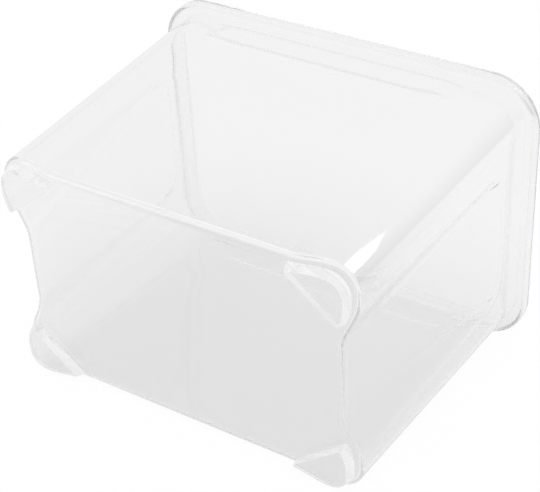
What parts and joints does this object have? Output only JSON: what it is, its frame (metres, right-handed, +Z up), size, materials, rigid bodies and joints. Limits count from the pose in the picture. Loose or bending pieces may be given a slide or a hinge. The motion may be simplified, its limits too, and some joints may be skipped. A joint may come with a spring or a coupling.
{
  "type": "fridge bin",
  "caption": "Clear open-topped storage bin with tapered walls, a turned-down rim, grip ridges below it, sunk end panels and corner feet, for keeping food together in a fridge.",
  "frame": {"origin": "middle of the footprint, in the plane that the feet stand on", "axes": "+Z up towards the open rim, X along the long walls, Y along the short walls, -Y is the front"},
  "size_m": [0.2, 0.142, 0.15],
  "materials": {
    "clear_shell": "clear, polished",
    "clear_foot": "clear, polished"
  },
  "bodies": {
    "root": {"bin_shell": "clear_shell", "front_left_foot": "clear_foot", "front_right_foot": "clear_foot", "rear_left_foot": "clear_foot", "rear_right_foot": "clear_foot"}
  },
  "joints": []
}
